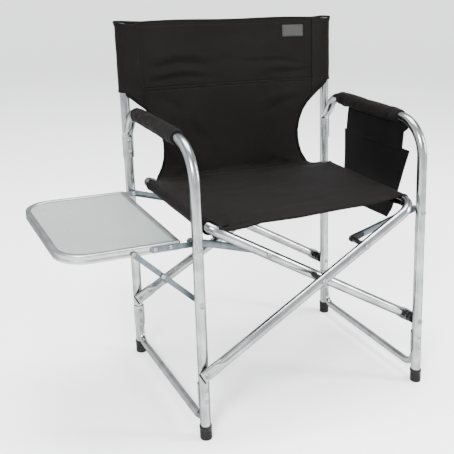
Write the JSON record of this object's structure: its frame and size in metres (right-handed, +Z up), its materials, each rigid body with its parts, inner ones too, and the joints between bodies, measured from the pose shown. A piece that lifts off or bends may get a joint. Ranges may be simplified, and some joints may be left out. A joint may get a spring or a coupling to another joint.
{
  "type": "folding camp chair",
  "caption": "Folding director-style camp chair of aluminium tube with a fabric seat and back, a drop-leaf side table and a hanging side pocket.",
  "frame": {"origin": "centre of the overall bounding box at floor level", "axes": "+X to the sitter's left, along the side table and the seat's width; the chair faces -Y; +Z up"},
  "size_m": [0.8325, 0.5114, 0.8],
  "materials": {
    "satin_aluminium": "satin anodised",
    "zinc_plated_steel": "dull zinc plate",
    "black_plastic": "matt moulded",
    "black_rubber": "matt",
    "black_polyester": "plain woven, coated",
    "grey_table_panel": "fine speckled satin"
  },
  "bodies": {
    "frame_left": {"left_frame_tube": "satin_aluminium", "left_rear_post": "satin_aluminium", "left_lower_brace": "satin_aluminium", "left_arm_pad": "black_polyester", "left_front_foot": "black_rubber", "left_rear_foot": "black_rubber", "left_front_pivot_rivet": "zinc_plated_steel", "left_front_pivot_spacer": "black_plastic", "left_front_link_bolt": "zinc_plated_steel", "left_rear_pivot_rivet": "zinc_plated_steel", "left_rear_pivot_spacer": "black_plastic", "left_rear_link_bolt": "zinc_plated_steel", "front_stay_leg_rivet": "zinc_plated_steel", "rear_stay_leg_rivet": "zinc_plated_steel", "back_sling": "black_polyester"},
    "frame_right": {"right_frame_tube": "satin_aluminium", "right_rear_post": "satin_aluminium", "right_lower_brace": "satin_aluminium", "right_arm_pad": "black_polyester", "right_front_foot": "black_rubber", "right_rear_foot": "black_rubber", "right_front_pivot_rivet": "zinc_plated_steel", "right_front_pivot_spacer": "black_plastic", "right_front_link_bolt": "zinc_plated_steel", "right_rear_pivot_rivet": "zinc_plated_steel", "right_rear_pivot_spacer": "black_plastic", "right_rear_link_bolt": "zinc_plated_steel"},
    "cross_b": {"cross_tube_b": "satin_aluminium", "front_centre_rivet": "zinc_plated_steel", "rear_centre_rivet": "zinc_plated_steel", "front_centre_spacer": "black_plastic", "rear_centre_spacer": "black_plastic", "right_front_link_rivet": "zinc_plated_steel", "right_rear_link_rivet": "zinc_plated_steel", "seat_sling": "black_polyester"},
    "cross_a": {"cross_tube_a": "satin_aluminium", "left_front_link_rivet": "zinc_plated_steel", "left_rear_link_rivet": "zinc_plated_steel"},
    "links_left": {"left_front_link": "zinc_plated_steel", "left_rear_link": "zinc_plated_steel", "left_front_link_end": "black_plastic", "left_rear_link_end": "black_plastic"},
    "links_right": {"right_front_link": "zinc_plated_steel", "right_rear_link": "zinc_plated_steel", "right_front_link_end": "black_plastic", "right_rear_link_end": "black_plastic"},
    "table": {"table_rim": "satin_aluminium", "table_panel": "grey_table_panel", "front_table_bracket": "zinc_plated_steel", "rear_table_bracket": "zinc_plated_steel", "front_stay_table_rivet": "zinc_plated_steel", "rear_stay_table_rivet": "zinc_plated_steel"},
    "stay_lower": {"front_lower_stay": "zinc_plated_steel", "rear_lower_stay": "zinc_plated_steel", "front_stay_elbow_rivet": "zinc_plated_steel", "rear_stay_elbow_rivet": "zinc_plated_steel"},
    "stay_upper": {"front_upper_stay": "zinc_plated_steel", "rear_upper_stay": "zinc_plated_steel"},
    "pocket": {"side_pocket": "black_polyester"}
  },
  "joints": [
    {"name": "fold", "type": "hinge", "parent": "frame_left", "child": "cross_b", "pos_m": [-0.1513, -0.0431, 0.151], "axis": [0, -1, 0], "range_deg": [0, 50.84], "deforming": ["seat_sling", "back_sling"]},
    {"name": "centre_pivot", "type": "hinge", "parent": "cross_b", "child": "cross_a", "pos_m": [0.1207, -0.0431, 0.303], "axis": [0, -1, 0], "range_deg": [-102, 0]},
    {"name": "right_pivot", "type": "hinge", "parent": "cross_a", "child": "frame_right", "pos_m": [0.3927, -0.0431, 0.151], "axis": [0, -1, 0], "range_deg": [0, 51]},
    {"name": "left_links", "type": "hinge", "parent": "frame_left", "child": "links_left", "pos_m": [-0.1513, -0.0431, 0.41], "axis": [0, -1, 0], "range_deg": [0, 95.2]},
    {"name": "right_links", "type": "hinge", "parent": "frame_right", "child": "links_right", "pos_m": [0.3927, -0.0431, 0.41], "axis": [0, -1, 0], "range_deg": [-95.2, 0]},
    {"name": "table_drop", "type": "hinge", "parent": "frame_left", "child": "table", "pos_m": [-0.1513, -0.0431, 0.41], "axis": [0, -1, 0], "range_deg": [0, 70]},
    {"name": "lower_stays", "type": "hinge", "parent": "frame_left", "child": "stay_lower", "pos_m": [-0.1513, -0.0431, 0.293], "axis": [0, -1, 0], "range_deg": [0, 106.5]},
    {"name": "upper_stays", "type": "hinge", "parent": "table", "child": "stay_upper", "pos_m": [-0.2758, -0.0431, 0.408], "axis": [0, -1, 0], "range_deg": [-117.2, 0]},
    {"name": "pocket_swing", "type": "hinge", "parent": "frame_right", "child": "pocket", "pos_m": [0.3927, -0.0431, 0.606], "axis": [0, -1, 0], "range_deg": [0, 75]}
  ],
  "couplings": [
    {"joint": "centre_pivot", "follows": "fold", "ratio": -2},
    {"joint": "right_pivot", "follows": "fold", "ratio": 1},
    {"joint": "left_links", "follows": "fold", "ratio": 1.8683},
    {"joint": "right_links", "follows": "fold", "ratio": -1.8683},
    {"joint": "lower_stays", "follows": "table_drop", "ratio": 1.5164},
    {"joint": "upper_stays", "follows": "table_drop", "ratio": -1.6701}
  ]
}
